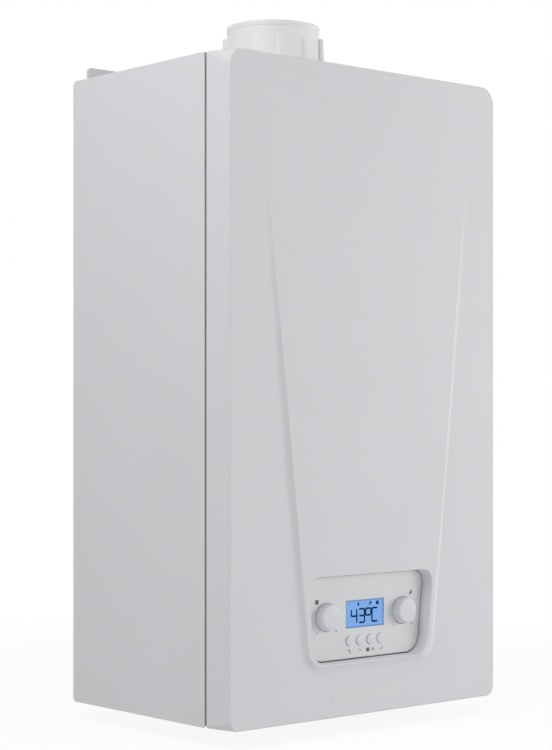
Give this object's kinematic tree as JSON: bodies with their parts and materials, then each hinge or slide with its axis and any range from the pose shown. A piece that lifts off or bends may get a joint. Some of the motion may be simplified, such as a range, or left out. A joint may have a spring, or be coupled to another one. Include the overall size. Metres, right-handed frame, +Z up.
{
  "type": "combi boiler",
  "caption": "White wall-hung combination boiler: pull-off shielded front cover, drop-down control box with dials, buttons and display, flue collar and full inner works.",
  "frame": {"origin": "middle of the hanging rail on its rear face, which lies on the wall", "axes": "+X to the right seen from the front, +Y into the wall, +Z up"},
  "size_m": [0.395, 0.2832, 0.768],
  "materials": {
    "casing_paint": "white powder coat, fine orange peel, satin",
    "zinc_steel": "zinc-plated sheet steel",
    "white_plastic": "white moulded plastic, satin",
    "knob_plastic": "pale grey moulded plastic, satin",
    "seal_rubber": "black elastomer seal",
    "cast_aluminium": "die-cast aluminium, as cast",
    "stainless_steel": "stainless steel sheet and tube",
    "ceramic": "glazed ceramic insulator",
    "black_plastic": "glass-filled black plastic",
    "grey_plastic": "grey moulded plastic",
    "brass_parts": "hot-pressed brass",
    "copper_pipe": "drawn copper pipe",
    "vessel_red": "red enamelled pressed steel",
    "red_plastic": "red moulded plastic",
    "blue_plastic": "blue moulded plastic",
    "display_blue": "backlit blue liquid-crystal display",
    "circuit_green": "green circuit board lacquer"
  },
  "bodies": {
    "casing": {"left_side_panel": "casing_paint", "right_side_panel": "casing_paint", "top_plate": "casing_paint", "hanging_rail": "zinc_steel", "back_frame": "zinc_steel", "bottom_plate": "zinc_steel", "case_gasket": "seal_rubber", "flue_collar": "white_plastic", "collar_lip_seal": "seal_rubber", "flue_inner_pipe": "cast_aluminium", "flue_duct": "black_plastic", "cell_shell": "stainless_steel", "cell_coil": "stainless_steel", "burner_door": "cast_aluminium", "burner": "stainless_steel", "ignition_electrode": "ceramic", "fan_housing": "cast_aluminium", "fan_motor": "black_plastic", "gas_air_mixer": "grey_plastic", "gas_valve": "cast_aluminium", "gas_supply_pipe": "copper_pipe", "gas_feed_pipe": "copper_pipe", "expansion_vessel": "vessel_red", "expansion_hose": "stainless_steel", "flow_block": "brass_parts", "return_block": "brass_parts", "plate_heat_exchanger": "stainless_steel", "pump_body": "black_plastic", "pump_motor": "grey_plastic", "air_vent": "brass_parts", "diverter_actuator": "grey_plastic", "flow_pipe": "copper_pipe", "return_pipe": "copper_pipe", "condensate_trap": "grey_plastic", "condensate_hose": "grey_plastic", "heating_flow_union": "brass_parts", "hot_water_union": "brass_parts", "gas_union": "brass_parts", "cold_water_union": "brass_parts", "heating_return_union": "brass_parts"},
    "front_cover": {"front_cover": "casing_paint", "badge_plate": "white_plastic", "cover_screw_left": "zinc_steel", "cover_screw_right": "zinc_steel"},
    "control_box": {"control_box": "black_plastic", "control_box_lid": "black_plastic", "circuit_board": "circuit_green", "fascia": "white_plastic", "display": "display_blue"},
    "knob_heating": {"knob_heating": "knob_plastic"},
    "knob_hot_water": {"knob_hot_water": "knob_plastic"},
    "button_back": {"button_back": "knob_plastic"},
    "button_minus": {"button_minus": "knob_plastic"},
    "button_mode": {"button_mode": "knob_plastic"},
    "button_confirm": {"button_confirm": "knob_plastic"},
    "fan_rotor": {"fan_impeller": "black_plastic"},
    "pump_rotor": {"pump_impeller": "grey_plastic"},
    "diverter": {"diverter_spindle": "stainless_steel"},
    "relief_knob": {"relief_knob": "red_plastic"},
    "filling_knob": {"filling_knob": "blue_plastic"}
  },
  "joints": [
    {"name": "front_cover_slide", "type": "slide", "parent": "casing", "child": "front_cover", "axis": [0, -1, 0], "range_m": [0, 0.45]},
    {"name": "control_box_hinge", "type": "hinge", "parent": "casing", "child": "control_box", "pos_m": [0, -0.2602, -0.635], "axis": [1, 0, 0], "range_deg": [0, 80]},
    {"name": "knob_heating_turn", "type": "hinge", "parent": "control_box", "child": "knob_heating", "pos_m": [-0.057, -0.2712, -0.5727], "axis": [0, 1, 0], "range_deg": [-135, 135]},
    {"name": "knob_hot_water_turn", "type": "hinge", "parent": "control_box", "child": "knob_hot_water", "pos_m": [0.057, -0.2712, -0.5727], "axis": [0, 1, 0], "range_deg": [-135, 135]},
    {"name": "button_back_press", "type": "slide", "parent": "control_box", "child": "button_back", "axis": [0, 1, 0], "range_m": [0, 0.0012], "stiffness_N_per_m": 800},
    {"name": "button_minus_press", "type": "slide", "parent": "control_box", "child": "button_minus", "axis": [0, 1, 0], "range_m": [0, 0.0012], "stiffness_N_per_m": 800},
    {"name": "button_mode_press", "type": "slide", "parent": "control_box", "child": "button_mode", "axis": [0, 1, 0], "range_m": [0, 0.0012], "stiffness_N_per_m": 800},
    {"name": "button_confirm_press", "type": "slide", "parent": "control_box", "child": "button_confirm", "axis": [0, 1, 0], "range_m": [0, 0.0012], "stiffness_N_per_m": 800},
    {"name": "fan_spin", "type": "hinge", "parent": "casing", "child": "fan_rotor", "pos_m": [0.108, -0.2184, -0.0512], "axis": [0, 1, 0], "continuous": true},
    {"name": "pump_spin", "type": "hinge", "parent": "casing", "child": "pump_rotor", "pos_m": [0.0975, -0.13, -0.5468], "axis": [0, 1, 0], "continuous": true},
    {"name": "diverter_travel", "type": "slide", "parent": "casing", "child": "diverter", "axis": [0, 0, 1], "range_m": [0, 0.006]},
    {"name": "relief_knob_turn", "type": "hinge", "parent": "casing", "child": "relief_knob", "pos_m": [-0.071, -0.1633, -0.6168], "axis": [0, -1, 0], "range_deg": [0, 90]},
    {"name": "filling_knob_turn", "type": "hinge", "parent": "casing", "child": "filling_knob", "pos_m": [0.0975, -0.12, -0.652], "axis": [0, 0, -1], "range_deg": [0, 90]}
  ],
  "couplings": [
    {"joint": "control_box_hinge", "follows": "front_cover_slide", "rad_per_m": 3.1}
  ]
}
